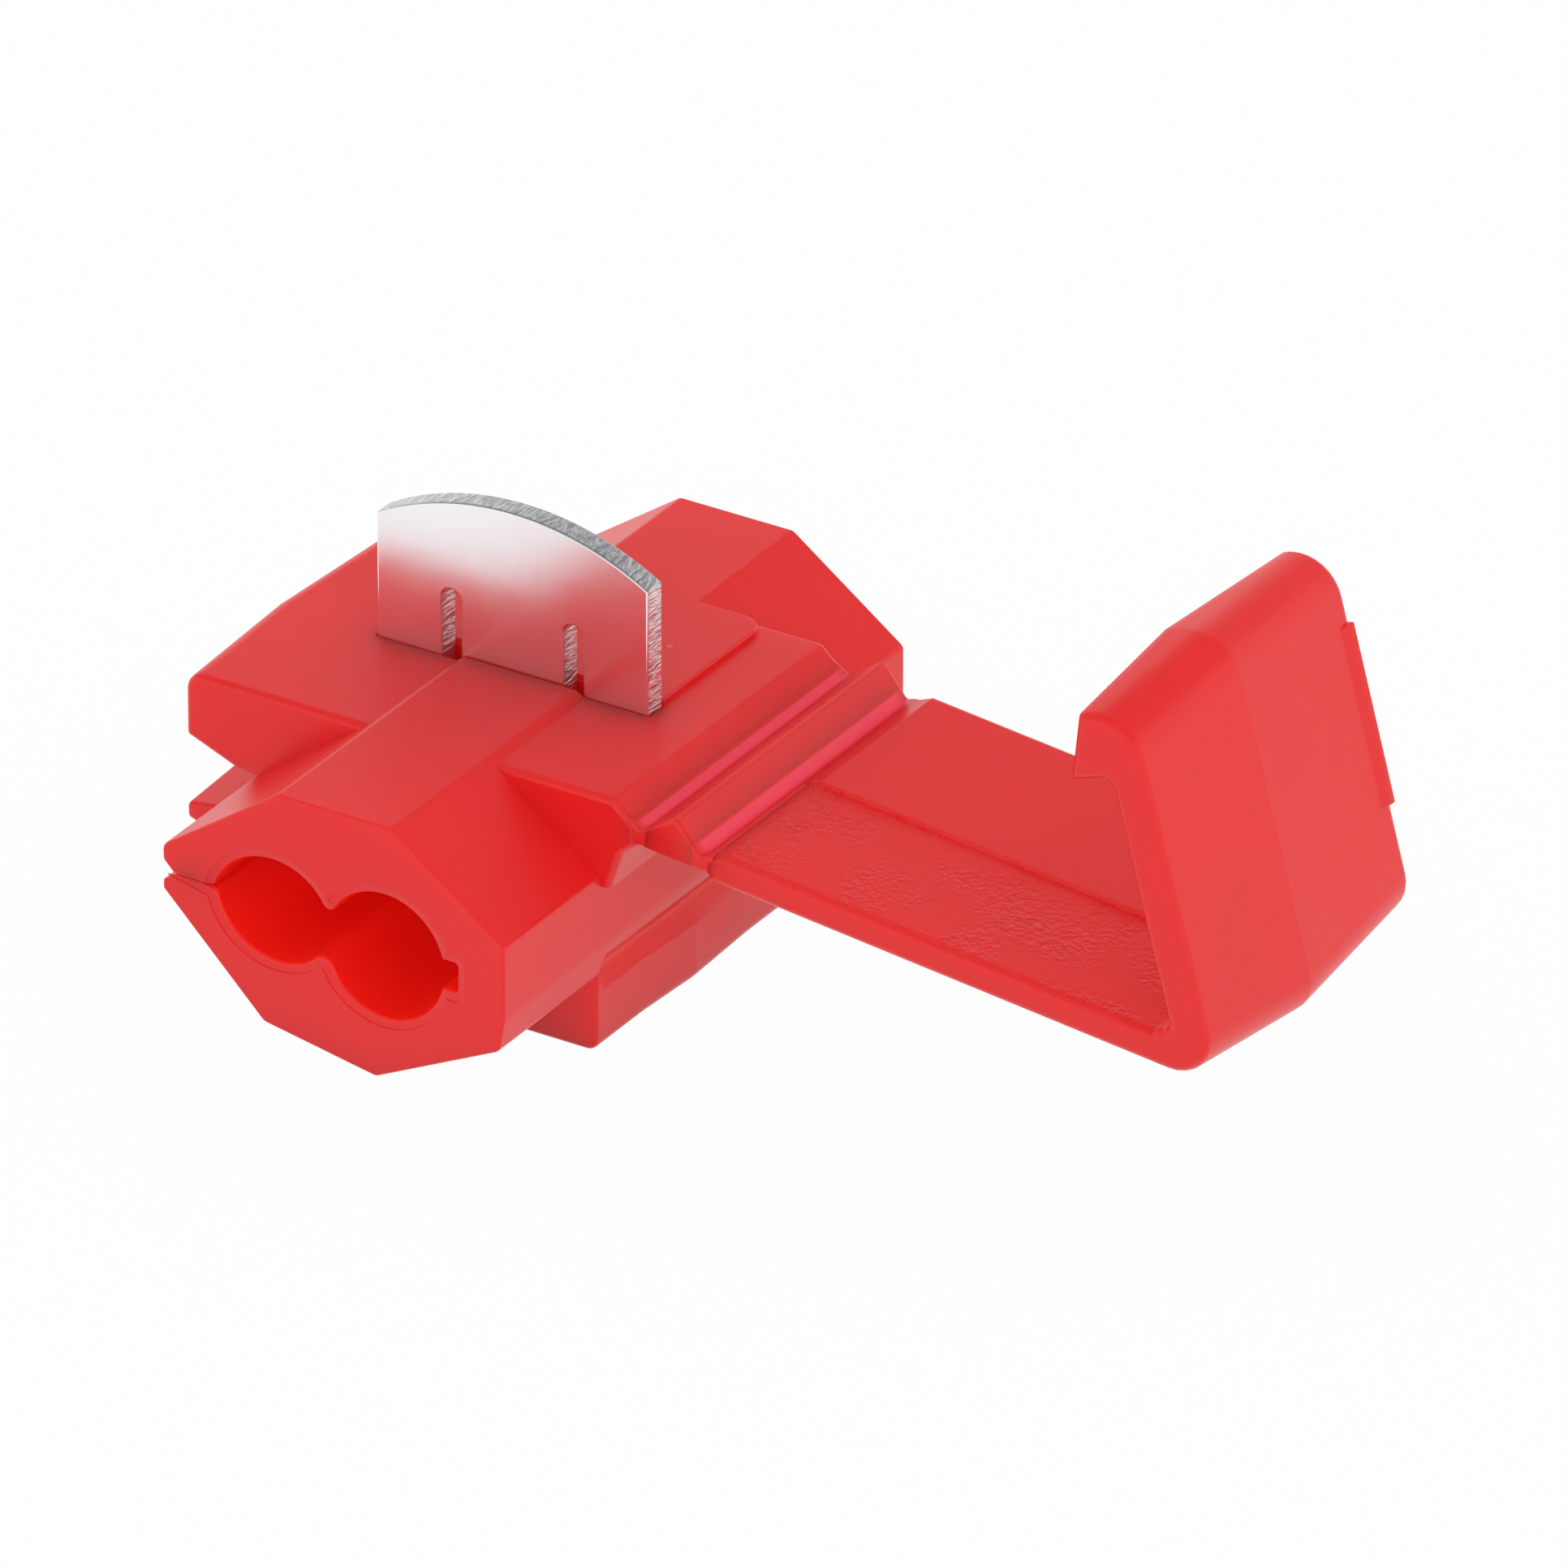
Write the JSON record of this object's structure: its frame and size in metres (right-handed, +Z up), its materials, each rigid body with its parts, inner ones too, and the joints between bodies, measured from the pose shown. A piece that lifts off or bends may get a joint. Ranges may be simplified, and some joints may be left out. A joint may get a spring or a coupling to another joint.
{
  "type": "run-and-tap wire splice connector",
  "caption": "Moulded plastic wire tap: two side-by-side wire channels, a raised slotted contact plate and an L-shaped latch cover on a double living hinge.",
  "frame": {"origin": "on the flat base, under the middle of the sleeve across the wires and at half its length", "axes": "+X across the wires from the wire mouth to the cover, +Y along the wires to the rear, +Z up towards the raised contact plate"},
  "size_m": [0.0325, 0.02, 0.0148],
  "materials": {
    "red_plastic": "moulded polypropylene, satin, slightly translucent",
    "plated_metal": "tin-plated stamping, bright faces and sheared edges"
  },
  "bodies": {
    "base_body": {"housing": "red_plastic"},
    "plate": {"contact_plate": "plated_metal"},
    "link": {"hinge_link": "red_plastic"},
    "lid": {"cover": "red_plastic"}
  },
  "joints": [
    {"name": "link_fold", "type": "hinge", "parent": "base_body", "child": "link", "pos_m": [0.00653, 0, 0.0071], "axis": [0, -1, 0], "range_deg": [0, 70]},
    {"name": "cover_fold", "type": "hinge", "parent": "link", "child": "lid", "pos_m": [0.00839, 0, 0.0069], "axis": [0, -1, 0], "range_deg": [0, 70]},
    {"name": "plate_press", "type": "slide", "parent": "base_body", "child": "plate", "axis": [0, 0, -1], "range_m": [0, 0.0045]}
  ]
}
